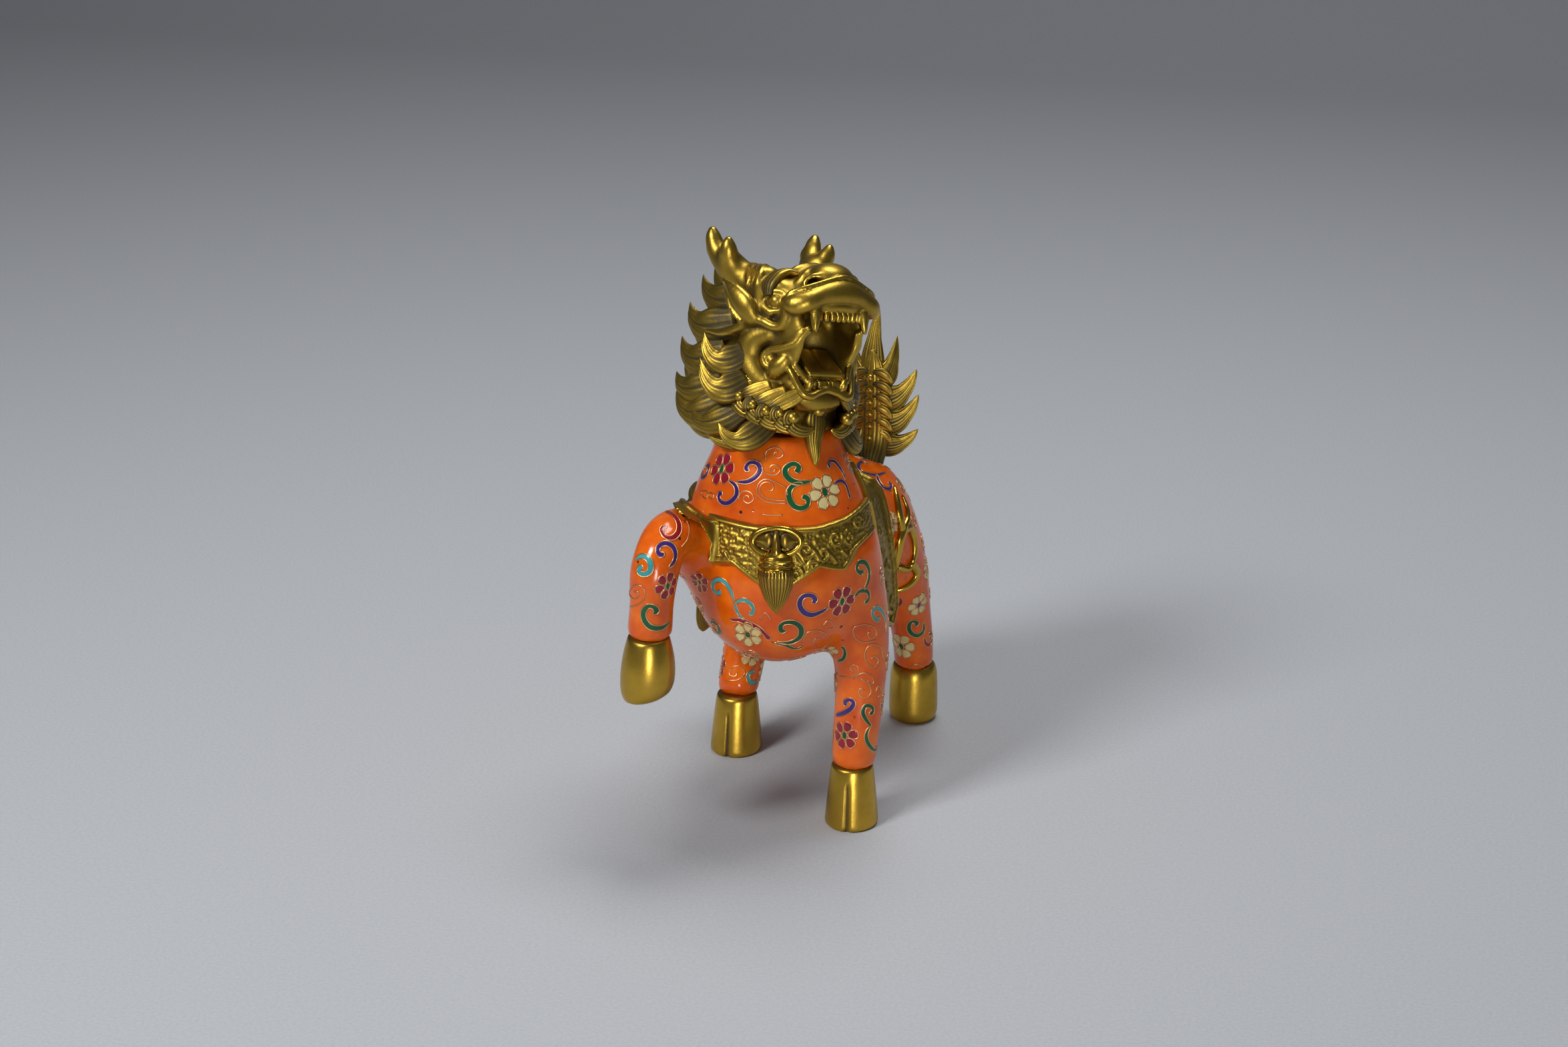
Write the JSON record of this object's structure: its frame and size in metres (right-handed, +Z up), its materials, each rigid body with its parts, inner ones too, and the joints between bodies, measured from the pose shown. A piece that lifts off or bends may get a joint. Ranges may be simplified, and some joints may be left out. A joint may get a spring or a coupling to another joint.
{
  "type": "qilin figure",
  "caption": "Cloisonne enamel qilin standing with one foreleg raised, with cast brass dragon head, mane, fan tail, chest collar, tassel, saddle cloth and hooves.",
  "frame": {"origin": "under the middle of the figure's box, at the level of the soles", "axes": "+Z up, -Y the way the body faces, +X the figure's left side"},
  "size_m": [0.077, 0.1432, 0.1913],
  "materials": {
    "enamel": "glossy fired orange enamel over copper, with coloured motifs between gilt wires",
    "cast_brass": "cast brass with worn gilding, dark in the recesses and bright on the high places",
    "gilt_brass": "gilt brass, polished on the high places, with brown patches"
  },
  "bodies": {
    "root": {"body": "enamel", "head": "cast_brass", "tail": "cast_brass", "saddle_cloth": "cast_brass", "collar": "cast_brass", "tassel": "gilt_brass", "hoof_front_left": "gilt_brass", "hoof_front_right": "gilt_brass", "hoof_hind_left": "gilt_brass", "hoof_hind_right": "gilt_brass", "haunch_flame_left": "cast_brass", "haunch_flame_right": "cast_brass"}
  },
  "joints": []
}
